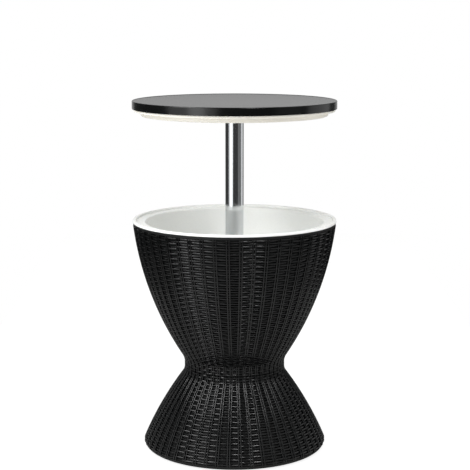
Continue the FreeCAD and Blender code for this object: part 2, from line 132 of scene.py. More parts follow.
@dataclass(frozen=True)
class Finish:
    """A surface as it left its maker: a colour that varies a little, a sheen and a fine grain.

    The pattern sizes are millimetres on the real surface. The stretch says how much longer the grain
    runs along each axis, for surfaces that were drawn or turned. The scatter is the share of light
    that sinks in. Its depths are those of red, green and blue light in metres, before the scale.
    """

    name: str
    slot: str
    colour: str
    second_colour: str
    patch_mm: float
    roughness: tuple[float, float]
    grain_mm: float
    grain_depth_mm: float
    metallic: float = 0.0
    ior: float = 1.5
    scatter: float = 0.0
    scatter_depths: Triple = (0.006, 0.005, 0.004)
    scatter_scale: float = 0.3
    anisotropy: float = 0.0
    stretch: Triple = (1.0, 1.0, 1.0)
    patch_detail: float = 4.0
    grain_detail: float = 3.0
    grain_span: tuple[float, float] = (0.3, 0.7)
    relief_strength: float = 0.6

    def material(self) -> bpy.types.Material:
        """Builds the finish's Blender material, the first time that it is asked for.

        Returns:
            The material.
        """
        made = bpy.data.materials.get(self.name)
        if made:
            return made
        material = bpy.data.materials.new(self.name)
        material.use_nodes = True
        tree = material.node_tree
        shader = tree.nodes["Principled BSDF"]
        place = add_node(tree, "ShaderNodeTexCoord")
        squeeze = tuple(1 / share for share in self.stretch)
        grid = add_node(tree, "ShaderNodeMapping", {"Vector": place.outputs["Object"],
                                                    "Scale": squeeze})
        patches = add_node(tree, "ShaderNodeTexNoise",
                           {"Vector": place.outputs["Object"], "Detail": self.patch_detail,
                            "Scale": 1 / (self.patch_mm * MM)})
        tint = add_node(tree, "ShaderNodeMix",
                        {"Factor": patches.outputs["Fac"], MIX_COLOUR_A: linear(self.colour),
                         MIX_COLOUR_B: linear(self.second_colour)}, data_type="RGBA")
        grain = add_node(tree, "ShaderNodeTexNoise",
                         {"Vector": grid.outputs["Vector"], "Detail": self.grain_detail,
                          "Scale": 1 / (self.grain_mm * MM)})
        sheen = add_node(tree, "ShaderNodeMapRange",
                         {"Value": grain.outputs["Fac"], "From Min": self.grain_span[0],
                          "From Max": self.grain_span[1], "To Min": self.roughness[0],
                          "To Max": self.roughness[1]})
        relief = add_node(tree, "ShaderNodeBump",
                          {"Height": grain.outputs["Fac"], "Strength": self.relief_strength,
                           "Distance": self.grain_depth_mm * MM})
        feed(tree, shader, {"Base Color": tint.outputs[MIX_COLOUR_OUT],
                            "Roughness": sheen.outputs["Result"],
                            "Normal": relief.outputs["Normal"], "Metallic": self.metallic})
        if not self.metallic:
            feed(tree, shader, {"IOR": self.ior})
        if self.scatter:
            feed(tree, shader, {"Subsurface Weight": self.scatter,
                                "Subsurface Radius": self.scatter_depths,
                                "Subsurface Scale": self.scatter_scale})
        if self.anisotropy:
            around = add_node(tree, "ShaderNodeTangent", direction_type="RADIAL", axis="Z")
            feed(tree, shader, {"Tangent": around.outputs["Tangent"],
                                "Anisotropic": self.anisotropy})
        return material


# Black polypropylene moulded as wicker: satin, so each strand carries a soft grey light on its crown
# and the hollows between the strands stay black.
MOULDED_WICKER = Finish("wicker_moulded_polypropylene", "black_wicker_resin", "060708", "0A0B0B",
                        38.0, (0.13, 0.19), 1.1, 0.04, ior=1.49)
# The same polypropylene where the mould is blasted and never polished: the ground between the strands
# and the plain bands, so matt that the strands stand out from near black. Its colour is a little darker
# than the strands': painted shade for the hollows between them, which the plain bands share.
GROUND_MATT_PAINTED_SHADE = Finish("wicker_ground_blasted_painted_shade_polypropylene", "black_wicker_resin", "040505",
                        "070808", 30.0, (0.58, 0.70), 1.6, 0.06, ior=1.49)
# Black polypropylene with a fine spark-eroded texture: a calm satin that only shines at a low angle.
TEXTURED_TOP = Finish("table_top_textured_polypropylene", "black_top", "050606", "080909",
                      60.0, (0.18, 0.24), 0.9, 0.03, ior=1.49)
# Plain black polypropylene for the base plate: a little duller, as nobody polishes that tool.
PLAIN_BLACK = Finish("base_plain_polypropylene", "black_resin", "101112", "181919",
                     45.0, (0.42, 0.55), 1.4, 0.05, ior=1.49)
# White polypropylene from a polished tool: a soft gloss and light that sinks a little way in.
TUB_WHITE = Finish("tub_gloss_polypropylene", "white_resin", "EDEEEC", "E6E8E6",
                   90.0, (0.24, 0.32), 1.6, 0.02, ior=1.49, scatter=0.08)
# The lid's white polypropylene has a warmer batch colour than the tub.
LID_WHITE = Finish("lid_satin_polypropylene", "white_resin", "F0EDE4", "E9E5DA",
                   90.0, (0.30, 0.40), 1.6, 0.02, ior=1.49, scatter=0.08)
# White nylon for bush, hub and plug: slightly yellow and waxy.
WHITE_NYLON = Finish("bush_turned_nylon", "white_nylon", "E4E2DA", "DCD9CF",
                     30.0, (0.36, 0.46), 0.8, 0.02, ior=1.53, scatter=0.1)
# Grey glass-filled nylon for the lock: dull, with a fine mottle from the fibres.
GREY_NYLON = Finish("lock_glass_filled_nylon", "grey_nylon", "8C9092", "7A7E80",
                    6.0, (0.48, 0.6), 0.5, 0.04, ior=1.53)
# Aluminium drawn through a die and polished: fine lines along the tube, so lights spread sideways
# only a little and stand as bright upright bands.
DRAWN_ALUMINIUM = Finish("column_drawn_aluminium", "column_metal", "E4E6E8", "DADDE0",
                         40.0, (0.07, 0.12), 0.5, 0.004, metallic=1.0, anisotropy=0.2,
                         stretch=(1.0, 1.0, 160.0))
# Zinc-plated steel: a cooler, cloudier metal.
ZINC_STEEL = Finish("fixings_zinc_plated_steel", "steel", "B9BDC0", "A3A8AC",
                    4.0, (0.28, 0.42), 0.6, 0.02, metallic=1.0)
# Zinc-plated steel tube, drawn along its length.
GUIDE_STEEL = Finish("guide_zinc_plated_tube", "guide_steel", "AFB4B8", "9A9FA3",
                     20.0, (0.3, 0.42), 0.6, 0.02, metallic=1.0, stretch=(1.0, 1.0, 60.0))
# Black moulded rubber: matt and slightly dusty.
MATT_RUBBER = Finish("pads_moulded_rubber", "rubber", "242424", "303030",
                     8.0, (0.7, 0.85), 0.7, 0.05, ior=1.52)


# Sections and meshes

def filleted(corners: Sequence[Corner], steps: int = 6) -> list[Point]:
    """Rounds the corners of a closed half section.

    Args:
        corners: Radius, height and rounding of each corner, in order.
        steps: How many chords make one rounding.

    Returns:
        The points of the rounded section.
    """
    points: list[Point] = []
    for index, (radius, height, rounding) in enumerate(corners):
        here = Vector((radius, height))
        if rounding <= 0:
            points.append((radius, height))
            continue
        before = (Vector(corners[index - 1][:2]) - here).normalized()
        after = (Vector(corners[(index + 1) % len(corners)][:2]) - here).normalized()
        half = before.angle(after) / 2
        centre = here + (before + after).normalized() * (rounding / math.sin(half))
        start = here + before * (rounding / math.tan(half)) - centre
        side = 1 if start.cross(here - centre) > 0 else -1
        for step in range(steps + 1):
            angle = side * (math.pi - 2 * half) * step / steps
            points.append((centre.x + start.x * math.cos(angle) - start.y * math.sin(angle),
                           centre.y + start.x * math.sin(angle) + start.y * math.cos(angle)))
    return points


def placed(name: str, data: bpy.types.ID) -> bpy.types.Object:
    """Makes an object and links it to the scene.

    Args:
        name: The object's name.
        data: Its mesh, light or camera.

    Returns:
        The object.
    """
    thing = bpy.data.objects.new(name, data)
    bpy.context.scene.collection.objects.link(thing)
    return thing


def shade(mesh: bpy.types.Mesh) -> None:
    """Shades a mesh smooth and keeps its sharp edges."""
    mesh.shade_smooth()
    mesh.set_sharp_from_angle(angle=SHARP_ANGLE)


def new_object(name: str, verts: Sequence[Sequence[float]],
               faces: Sequence[Sequence[int]]) -> bpy.types.Object:
    """Makes an object of a mesh, with faces that look outwards and smooth shading.

    Args:
        name: The piece's name.
        verts: The points.
        faces: The faces, as point numbers.

    Returns:
        The new object, in the scene.
    """
    mesh = bpy.data.meshes.new(name)
    mesh.from_pydata(verts, [], faces)
    work = bmesh.new()
    work.from_mesh(mesh)
    bmesh.ops.recalc_face_normals(work, faces=work.faces)
    work.to_mesh(mesh)
    work.free()
    shade(mesh)
    return placed(name, mesh)


def lathe(name: str, section: Sequence[Point], segments: int = FINE_TURN,
          spot: Spot = AXIS) -> bpy.types.Object:
    """Turns a closed half section round an upright line.

    Args:
        name: The piece's name.
        section: Radius and height of each point. Two points may lie on the line.
        segments: Steps in a full turn.
        spot: Where the line stands.

    Returns:
        The turned piece.
    """
    verts: list[Triple] = []
    rings: list[list[int]] = []
    for radius, height in section:
        count = 1 if radius < TINY else segments
        rings.append(list(range(len(verts), len(verts) + count)))
        for side in range(count):
            angle = TURN * side / segments
            verts.append((spot[0] + radius * math.cos(angle), spot[1] + radius * math.sin(angle),
                          height))
    faces: list[list[int]] = []
    for low, high in zip(rings, rings[1:] + rings[:1]):
        for side in range(segments):
            after = (side + 1) % segments
            corners = [low[side % len(low)], low[after % len(low)],
                       high[after % len(high)], high[side % len(high)]]
            face = list(dict.fromkeys(corners))
            if len(face) > 2:
                faces.append(face)
    return new_object(name, verts, faces)


def turned(name: str, corners: Sequence[Corner], segments: int = FINE_TURN,
           spot: Spot = AXIS) -> bpy.types.Object:
    """Turns a half section of corners, each with its radius, height and rounding."""
    return lathe(name, filleted(corners), segments, spot)


def cut_away(piece: bpy.types.Object, cutters: Iterable[bpy.types.Object]) -> None:
    """Cuts the space of other objects out of a piece and deletes them.

    Args:
        piece: The piece that is cut.
        cutters: The objects whose space is taken out of it.
    """
    for cutter in cutters:
        change = piece.modifiers.new("cut", "BOOLEAN")
        change.operation = "DIFFERENCE"
        change.solver = "EXACT"
        change.object = cutter
        bpy.context.view_layer.update()
        graph = bpy.context.evaluated_depsgraph_get()
        mesh = bpy.data.meshes.new_from_object(piece.evaluated_get(graph))
        piece.modifiers.clear()
        piece.data = mesh
        bpy.data.objects.remove(cutter)
    shade(piece.data)


def ring_spots(radius: float, count: int) -> list[Spot]:
    """Returns evenly spaced spots on a circle round the axis, the first towards +X."""
    return [(radius * math.cos(TURN * number / count), radius * math.sin(TURN * number / count))
            for number in range(count)]


def joined(name: str, pieces: Sequence[bpy.types.Object]) -> bpy.types.Object:
    """Joins the meshes of some objects into one object.

    Args:
        name: The new object's name.
        pieces: The objects, which are deleted.

    Returns:
        The new object, in the scene.
    """
    work = bmesh.new()
    for piece in pieces:
        work.from_mesh(piece.data)
        bpy.data.objects.remove(piece)
    mesh = bpy.data.meshes.new(name)
    work.to_mesh(mesh)
    work.free()
    shade(mesh)
    return placed(name, mesh)


def finish_piece(piece: bpy.types.Object, finish: Finish, body: Body, *nodes: str) -> None:
    """Dresses a finished piece and hands it to the frame.

    Args:
        piece: The piece, in place.
        finish: Its surface.
        body: The body that it moves with.
        nodes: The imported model's nodes that it stands for.
    """
    piece.data.materials.clear()
    piece.data.materials.append(finish.material())
    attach(piece, body.value)
    if nodes:
        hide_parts(*nodes)
    log.info("%s: %d faces in %s", piece.name, len(piece.data.polygons), finish.name)


# Hourglass

@dataclass(frozen=True)
class Stretch:
    """A round stretch of the half section: its centre, its reach, and the angles of its ends.

    Outside is 1 where outwards leads away from the centre, and -1 where it leads towards it.
    """

    centre: Point
    reach: float
    start: float
    end: float
    outside: int

    @property
    def length(self) -> float:
        """The stretch's length."""
        return abs(self.end - self.start) * self.reach

    def at(self, distance: float, proud: float) -> Point:
        """Finds a point of the stretch.

        Args:
            distance: How far it is from the start.
            proud: How far it is moved outwards.

        Returns:
            Its radius and height.
        """
        angle = self.start + (self.end - self.start) * distance / self.length
        reach = self.reach + self.outside * proud
        return (self.centre[0] + reach * math.cos(angle),
                self.centre[1] + reach * math.sin(angle))


@dataclass(frozen=True)
class Run:
    """A straight upright stretch of the half section."""

    radius: float
    start: float
    end: float

    @property
    def length(self) -> float:
        """The run's length."""
        return abs(self.end - self.start)

    def at(self, distance: float, proud: float) -> Point:
        """Returns the point at a distance from the start, moved outwards."""
        share = distance / self.length
        return self.radius + proud, self.start + (self.end - self.start) * share


class Line:
    """A half section followed by its own length, from the rim or seam downwards."""

    def __init__(self, parts: Sequence[Stretch | Run]) -> None:
        """Keeps the parts and adds up their length."""
        self.parts = list(parts)
        self.length = sum(part.length for part in parts)

    def at(self, distance: float, proud: float = 0.0) -> Point:
        """Finds a point of the line.

        Args:
            distance: How far it is along the line.
            proud: How far it is moved outwards.

        Returns:
            Its radius and height.
        """
        for part in self.parts[:-1]:
            if distance <= part.length:
                return part.at(distance, proud)
            distance -= part.length
        return self.parts[-1].at(distance, proud)

    def points(self, start: float, end: float, step: float, proud: float = 0.0) -> list[Point]:
        """Spaces points evenly between two distances, both ends included.

        Args:
            start: The first point's distance along the line.
            end: The last point's distance.
            step: The greatest distance from one point to the next.
            proud: How far the points are moved outwards.

        Returns:
            The points, in order.
        """
        count = max(1, math.ceil(abs(end - start) / step))
        return [self.at(start + (end - start) * number / count, proud)
                for number in range(count + 1)]

    def distance_at(self, height: float) -> float:
        """Finds where the line, which runs down, passes a height.

        Args:
            height: The height.

        Returns:
            The distance along the line.
        """
        low, high = 0.0, self.length
        for _ in range(HALVINGS):
            middle = (low + high) / 2
            if self.at(middle)[1] > height:
                low = middle
            else:
                high = middle
        return low


@dataclass(frozen=True)
class Hourglass:
    """The outline of the body, in metres: two long arcs, two bends at the waist, a rounded base."""

    rim_radius: float = 0.248
    rim_height: float = 0.5655
    waist_radius: float = 0.1228
    upper_corner: float = 0.2251
    lower_corner: float = 0.1926
    upper_reach: float = 0.772
    lower_reach: float = 0.846
    upper_bend: float = 0.040
    lower_bend: float = 0.030
    base_radius: float = 0.2246
    base_round: float = 0.0128
    base_bottom: float = 0.002
    seam_rise: float = 0.001
    wall: float = 0.003

    @staticmethod
    def meet(first: Point, first_reach: float, second: Point, second_reach: float) -> Point:
        """Finds the point at two reaches from two points, on the side nearer the axis.

        Args:
            first: The first point.
            first_reach: How far it is from the first point.
            second: The second point.
            second_reach: How far it is from the second point.

        Returns:
            Its radius and height.
        """
        gap = math.dist(first, second)
        along = ((second[0] - first[0]) / gap, (second[1] - first[1]) / gap)
        near = (first_reach ** 2 - second_reach ** 2 + gap ** 2) / (2 * gap)
        across = math.sqrt(first_reach ** 2 - near ** 2)
        return min((first[0] + near * along[0] - turn * across * along[1],
                    first[1] + near * along[1] + turn * across * along[0]) for turn in (1, -1))

    def bend_centre(self, centre: Point, reach: float, bend: float, rises: int) -> Point:
        """Finds the centre of the bend that joins a long arc to the waist.

        Args:
            centre: The long arc's centre.
            reach: The long arc's reach.
            bend: The bend's own reach.
            rises: 1 for the bend above the waist and -1 for the one below.

        Returns:
            The centre's radius and height.
        """
        side = self.waist_radius + bend - centre[0]
        climb = math.sqrt((reach + bend) ** 2 - side ** 2)
        return self.waist_radius + bend, centre[1] - rises * climb

    @property
    def upper_centre(self) -> Point:
        """The centre of the upper long arc."""
        return self.meet((self.rim_radius, self.rim_height), self.upper_reach,
                         (self.waist_radius, self.upper_corner), self.upper_reach)

    @property
    def round_centre(self) -> Point:
        """The centre of the base's rounded edge."""
        return self.base_radius - self.base_round, self.base_bottom + self.base_round

    @property
    def lower_centre(self) -> Point:
        """The centre of the lower long arc."""
        return self.meet((self.waist_radius, self.lower_corner), self.lower_reach,
                         self.round_centre, self.lower_reach - self.base_round)

    @property
    def upper_bend_centre(self) -> Point:
        """The centre of the bend above the waist."""
        return self.bend_centre(self.upper_centre, self.upper_reach, self.upper_bend, 1)

    @property
    def lower_bend_centre(self) -> Point:
        """The centre of the bend below the waist."""
        return self.bend_centre(self.lower_centre, self.lower_reach, self.lower_bend, -1)

    @property
    def seam(self) -> float:
        """The height at which the two halves meet."""
        return self.lower_bend_centre[1] + self.seam_rise

    def upper_radius(self, height: float, inset: float = 0.0) -> float:
        """Returns the radius of the upper long arc at a height, moved inwards."""
        climb = height - self.upper_centre[1]
        return self.upper_centre[0] + math.sqrt((self.upper_reach - inset) ** 2 - climb ** 2)

    @staticmethod
    def angle(centre: Point, point: Point) -> float:
        """Returns the angle of a point seen from a centre."""
        return math.atan2(point[1] - centre[1], point[0] - centre[0])

    def upper_line(self) -> Line:
        """Makes the upper half's outline.

        Returns:
            The line from the rim down to the seam.
        """
        centre, bend = self.upper_centre, self.upper_bend_centre
        joint = self.angle(centre, bend)
        rim = self.angle(centre, (self.rim_radius, self.rim_height))
        long_arc = Stretch(centre, self.upper_reach, rim, joint, 1)
        turn = Stretch(bend, self.upper_bend, joint + math.pi, math.pi, -1)
        return Line([long_arc, turn, Run(self.waist_radius, bend[1], self.seam)])

    def lower_line(self) -> Line:
        """Makes the lower half's outline.

        Returns:
            The line from the seam down to the base's bottom.
        """
        centre, bend = self.lower_centre, self.lower_bend_centre
        joint = self.angle(centre, bend)
        touch = self.angle(centre, self.round_centre)
        turn = Stretch(bend, self.lower_bend, math.pi, math.pi + joint, -1)
        long_arc = Stretch(centre, self.lower_reach, joint, touch, 1)
        edge = Stretch(self.round_centre, self.base_round, touch, -math.pi / 2, 1)
        return Line([Run(self.waist_radius, self.seam, bend[1]), turn, long_arc, edge])


@dataclass(frozen=True)
class Weave:
    """The moulded basket weave: strands round the body that pass over and under pairs of ribs.

    Proud heights are measured outwards from the body's outline. A strand stays at its over height
    and dives to its under height at every second pair. A larger dive makes it fall sooner. The ribs of
    a pair stand nearer each other where the body is narrower, though not in full proportion. The
    pitch and the relief are drawn as coarse and as deep as the photograph shows them.
    """

    pairs: int = 50
    pitch: float = 0.00632
    strand_half_width: float = 0.0019
    strand_half_depth: float = 0.0010
    strand_over: float = -0.0004
    strand_under: float = -0.0024
    rib_spread: float = 0.0062
    spread_kept: float = 0.55
    spread_shrinking: float = 0.45
    full_radius: float = 0.248
    rib_half_width: float = 0.0018
    rib_half_depth: float = 0.0010
    rib_centre: float = 0.0002
    ground: float = -0.0048
    dive: float = 2.0
    steps_per_pair: int = 6
    crown_angles: tuple[float, ...] = (-90.0, -50.0, 0.0, 50.0, 90.0)
    flank_feet: int = 2

    @property
    def sides(self) -> int:
        """How many points a cross-section has."""
        return len(self.crown_angles) + self.flank_feet

    def profile(self, half_width: float, half_depth: float, centre: float) -> list[Point]:
        """Returns a strand's or rib's cross-section: a round crown on flanks down to the ground.

        Args:
            half_width: Half the width of the crown.
            half_depth: How far the crown stands out from its centre.
            centre: The crown's centre, outwards from the body's outline.

        Returns:
            The place of each point, across and outwards.
        """
        crown = [(half_width * math.sin(math.radians(tilt)),
                  centre + half_depth * math.cos(math.radians(tilt)))
                 for tilt in self.crown_angles]
        return crown + [(half_width, self.ground), (-half_width, self.ground)]

    def strand(self, line: Line, distance: float, row: int) -> Tube:
        """Sweeps one strand round the body.

        Args:
            line: The outline that the strand lies on.
            distance: Where it lies along that outline.
            row: Its number, which says over which pairs it passes.

        Returns:
            The strand's points, and its faces.
        """
        count = self.pairs * self.steps_per_pair
        verts: list[Triple] = []
        for side in range(count):
            angle = TURN * side / count
            swing = 1 + math.cos(math.pi * (side / self.steps_per_pair + row))
            rise = min(1.0, swing / self.dive) * (self.strand_over - self.strand_under)
            for across, proud in self.profile(self.strand_half_width, self.strand_half_depth,
                                              self.strand_under + rise):
                radius, height = line.at(distance + across, proud)
                verts.append((radius * math.cos(angle), radius * math.sin(angle), height))
        return verts, tube_faces(count, self.sides, True)

    def rib(self, line: Line, start: float, end: float, pair: int, side: int) -> Tube:
        """Sweeps one rib down the body.

        Args:
            line: The outline that the rib lies on.
            start: Where it begins along that outline.
            end: Where it ends.
            pair: The number of its pair.
            side: -1 for the pair's first rib and 1 for its second.

        Returns:
            The rib's points, and its faces.
        """
        count = math.ceil((end - start) / (self.pitch / 2))
        verts: list[Triple] = []
        for step in range(count + 1):
            distance = start + (end - start) * step / count
            wide = line.at(distance)[0]
            closer = self.spread_kept + self.spread_shrinking * wide / self.full_radius
            for across, proud in self.profile(self.rib_half_width, self.rib_half_depth,
                                              self.rib_centre):
                radius, height = line.at(distance, proud)
                sideways = side * self.rib_spread / 2 + across
                angle = TURN * pair / self.pairs + sideways * closer / wide
                verts.append((radius * math.cos(angle), radius * math.sin(angle), height))
        faces = tube_faces(count + 1, self.sides, False)
        faces.append(list(range(self.sides)))
        faces.append(list(range(count * self.sides, (count + 1) * self.sides)))
        return verts, faces

    def rows(self, start: float, end: float) -> list[float]:
        """Returns where the strands lie between two distances along an outline."""
        count = round((end - start) / self.pitch)
        return [start + (end - start) * (number + 0.5) / count for number in range(count)]


def tube_faces(rings: int, sides: int, closed: bool) -> list[list[int]]:
    """Lists the faces of a tube of rings.

    Args:
        rings: How many rings the tube has.
        sides: How many points each ring has.
        closed: Whether the last ring joins the first.

    Returns:
        The faces, as point numbers.
    """
    faces = []
    for ring in range(rings if closed else rings - 1):
        after = (ring + 1) % rings
        for side in range(sides):
            beside = (side + 1) % sides
            faces.append([ring * sides + side, ring * sides + beside,
                          after * sides + beside, after * sides + side])
    return faces


def swept(name: str, tubes: Iterable[Tube]) -> bpy.types.Object:
    """Puts swept tubes together in one object.

    Args:
        name: The object's name.
        tubes: The points and faces of each tube.

    Returns:
        The new object, in the scene.
    """
    verts: list[Triple] = []
    faces: list[list[int]] = []
    for tube_verts, tube in tubes:
        first = len(verts)
        verts += tube_verts
        faces += [[first + number for number in face] for face in tube]
    mesh = bpy.data.meshes.new(name)
    mesh.from_pydata(verts, [], faces)
    mesh.shade_smooth()
    return placed(name, mesh)


@dataclass
class WickerBody:
    """The two black shells of the hourglass with their weave and plain bands."""

    outline: Hourglass = field(default_factory=Hourglass)
    weave: Weave = field(default_factory=Weave)
    mouth_radius: float = 0.2413
    rim_band: float = 0.0075
    base_band: float = 0.018
    seam_margin: float = 0.0001
    band_round: float = 0.0008
    section_step: float = 0.006
    edge_step: float = 0.0015
    collar_gap: float = 0.0002
    inner_start: float = 0.004
    waist_opening: float = 0.1058
    collar_top: float = 0.2116
    plate_opening: float = 0.1733
    plate_seat_radius: float = 0.2005
    plate_seat: float = 0.005
    base_flange_top: float = 0.008

    @property
    def inside(self) -> float:
        """How far outwards the inner wall lies: half a wall behind the weave's ground."""
        return self.weave.ground - self.outline.wall / 2

    def upper_shell(self) -> bpy.types.Object:
        """Builds the upper shell: the ground under the weave, the rim and the waist flange.

        Returns:
            The shell.
        """
        line, wall = self.outline.upper_line(), self.outline.wall
        weave_start, weave_end = self.rim_band, line.length - self.seam_margin
        outer = [line.at(0.0), line.at(weave_start - self.band_round)]
        outer += line.points(weave_start, weave_end, self.section_step, self.weave.ground)
        outer += [line.at(line.length, self.weave.ground)]
        flange_low = self.collar_top
        inner_wall = line.distance_at(flange_low + wall)
        inner = [(self.outline.waist_radius + self.inside, self.outline.seam),
                 (self.outline.waist_radius + self.inside, flange_low),
                 (self.waist_opening, flange_low), (self.waist_opening, flange_low + wall)]
        inner += line.points(inner_wall, wall, self.section_step, self.inside)
        inner += [(self.mouth_radius, self.outline.rim_height - wall),
                  (self.mouth_radius, self.outline.rim_height)]
        return lathe("upper_shell", outer + inner)

    def lower_shell(self) -> bpy.types.Object:
        """Builds the lower shell: collar, ground under the weave, base edge and base flange.

        Returns:
            The shell.
        """
        line, wall, outline = self.outline.lower_line(), self.outline.wall, self.outline
        weave_end = line.length - self.base_band
        collar = outline.waist_radius + self.inside - self.collar_gap
        outer = [(collar, self.collar_top), (collar, outline.seam),
                 line.at(0.0, self.weave.ground)]
        outer += line.points(self.seam_margin, weave_end, self.section_step, self.weave.ground)
        outer += line.points(weave_end + self.band_round, line.length, self.edge_step)
        bottom = outline.base_bottom
        inner_end = line.distance_at(self.base_flange_top)
        inner = [(self.plate_seat_radius, bottom), (self.plate_seat_radius, self.plate_seat),
                 (self.plate_opening, self.plate_seat), (self.plate_opening, self.base_flange_top)]
        inner += line.points(inner_end, self.inner_start, self.section_step, self.inside)
        inner += [(collar - wall, outline.seam - wall), (collar - wall, self.collar_top)]
        return lathe("lower_shell", outer + inner)

    def strands(self, name: str, line: Line, rows: Sequence[tuple[int, float]]) -> bpy.types.Object:
        """Sweeps a group of strands."""
        return swept(name, [self.weave.strand(line, distance, row) for row, distance in rows])

    def ribs(self, name: str, line: Line, start: float, end: float) -> bpy.types.Object:
        """Sweeps all the ribs of one half."""
        return swept(name, [self.weave.rib(line, start, end, pair, side)
                            for pair in range(self.weave.pairs) for side in (-1, 1)])

    def build(self) -> None:
        """Builds both halves and hands their pieces to the frame."""
        # The shells take the ground finish, whose darker colour is painted shade between the strands.
        finish_piece(self.upper_shell(), GROUND_MATT_PAINTED_SHADE, Body.COOLER, "upper_body")
        finish_piece(self.lower_shell(), GROUND_MATT_PAINTED_SHADE, Body.COOLER, "lower_body")
        upper, lower = self.outline.upper_line(), self.outline.lower_line()
        upper_end = upper.length - self.seam_margin
        lower_end = lower.length - self.base_band
        upper_rows = list(enumerate(self.weave.rows(self.rim_band, upper_end)))
        lower_rows = [(len(upper_rows) + number, distance) for number, distance
                      in enumerate(self.weave.rows(self.seam_margin, lower_end))]
        half = len(upper_rows) // 2
        for name, line, rows in (("strands_rim", upper, upper_rows[:half]),
                                 ("strands_waist", upper, upper_rows[half:]),
                                 ("strands_base", lower, lower_rows)):
            finish_piece(self.strands(name, line, rows), MOULDED_WICKER, Body.COOLER)
        finish_piece(self.ribs("ribs_upper", upper, self.rim_band - self.band_round, upper_end),
                     MOULDED_WICKER, Body.COOLER)
        finish_piece(self.ribs("ribs_base", lower, self.seam_margin, lower_end + self.band_round),
                     MOULDED_WICKER, Body.COOLER)


@dataclass
class Tub:
    """The white tub: rounded lip, ledge for the lid, tapering wall, floor, riser and drain."""

    outline: Hourglass = field(default_factory=Hourglass)
    lip_radius: float = 0.2494
    lip_top: float = 0.571
    lip_round: float = 0.0025
    lip_under_round: float = 0.0006
    land_radius: float = 0.2414
    land_draft: float = 0.0015
    land_round: float = 0.0014
    ledge: float = 0.566
    ledge_root: float = 0.0012
    ledge_round: float = 0.003
    ledge_face: float = 0.01
    wall: float = 0.003
    wall_steps: int = 40
    inset: float = 0.030
    floor: float = 0.300
    floor_round: float = 0.026
    floor_steps: int = 12
    neck_radius: float = 0.2411
    riser_radius: float = 0.031
    riser_top: float = 0.506
    riser_bore: float = 0.0263
    riser_foot: float = 0.02
    riser_root: float = 0.005
    riser_round: float = 0.001
    drain_spot: Spot = (0.0, 0.084)
    drain_bore: float = 0.0125
    drain_wall: float = 0.003
    drain_drop: float = 0.018
    drain_round: float = 0.0006
    drain_cut: float = 0.02

    def wall_points(self, inset: float, floor: float, top: float) -> list[Point]:
        """Draws a tub wall's half section, from the floor's edge up.

        Args:
            inset: How far the wall lies inside the body's outline.
            floor: The height of the floor on the wall's side.
            top: The height at which the wall ends.

        Returns:
            The points of the wall, the lowest first.
        """
        corner = self.floor + self.floor_round
        edge = self.outline.upper_radius(corner, self.inset) - self.floor_round
        rise, reach = corner - floor, self.outline.upper_radius(corner, inset) - edge
        points = []
        for step in range(self.floor_steps + 1):
            angle = math.pi / 2 * step / self.floor_steps
            points.append((edge + reach * math.sin(angle), corner - rise * math.cos(angle)))
        for step in range(1, self.wall_steps + 1):
            height = corner + (top - corner) * step / self.wall_steps
            points.append((self.outline.upper_radius(height, inset), height))
        return points

    def section(self) -> list[Point]:
        """Draws the tub's whole half section.

        Returns:
            The points, from the floor's underside out, over the lip and in to the riser.
        """
        rim, under, face = self.outline.rim_height, self.ledge - self.wall, self.ledge - self.ledge_face
        outside = self.wall_points(self.inset - self.wall, self.floor - self.wall, under)
        lip = filleted([
            (self.neck_radius, under, 0), (self.neck_radius, rim, 0),
            (self.lip_radius, rim, self.lip_under_round),
            (self.lip_radius, self.lip_top, self.lip_round),
            (self.land_radius, self.lip_top, self.land_round),
            (self.land_radius - self.land_draft, self.ledge, self.ledge_root),
            (self.outline.upper_radius(self.ledge, self.inset), self.ledge, self.ledge_round),
            (self.outline.upper_radius(face, self.inset), face, 0)])
        inside = self.wall_points(self.inset, self.floor, face)[::-1]
        riser = filleted([
            (self.riser_radius + self.riser_foot, self.floor, 0),
            (self.riser_radius, self.floor, self.riser_root),
            (self.riser_radius, self.riser_top, self.riser_round),
            (self.riser_bore, self.riser_top, 0), (self.riser_bore, self.floor - self.wall, 0)])
        return outside + lip + inside[1:] + riser

    def build(self) -> None:
        """Builds the tub with its drain hole, and the neck under it."""
        tub = lathe("tub", self.section())
        low, high = self.floor - self.drain_cut, self.floor + self.drain_cut
        hole = turned("drain_hole", [(0, low, 0), (self.drain_bore, low, 0),
                                     (self.drain_bore, high, 0), (0, high, 0)],
                      SMALL_TURN, self.drain_spot)
        cut_away(tub, [hole])
        finish_piece(tub, TUB_WHITE, Body.COOLER, "ice_bucket")
        low, high = self.floor - self.drain_drop, self.floor - self.wall
        outside = self.drain_bore + self.drain_wall
        neck = turned("drain_neck", [
            (self.drain_bore, low, 0), (outside, low, self.drain_round),
            (outside, high, 0), (self.drain_bore, high, 0)], SMALL_TURN, self.drain_spot)
        finish_piece(neck, TUB_WHITE, Body.COOLER)


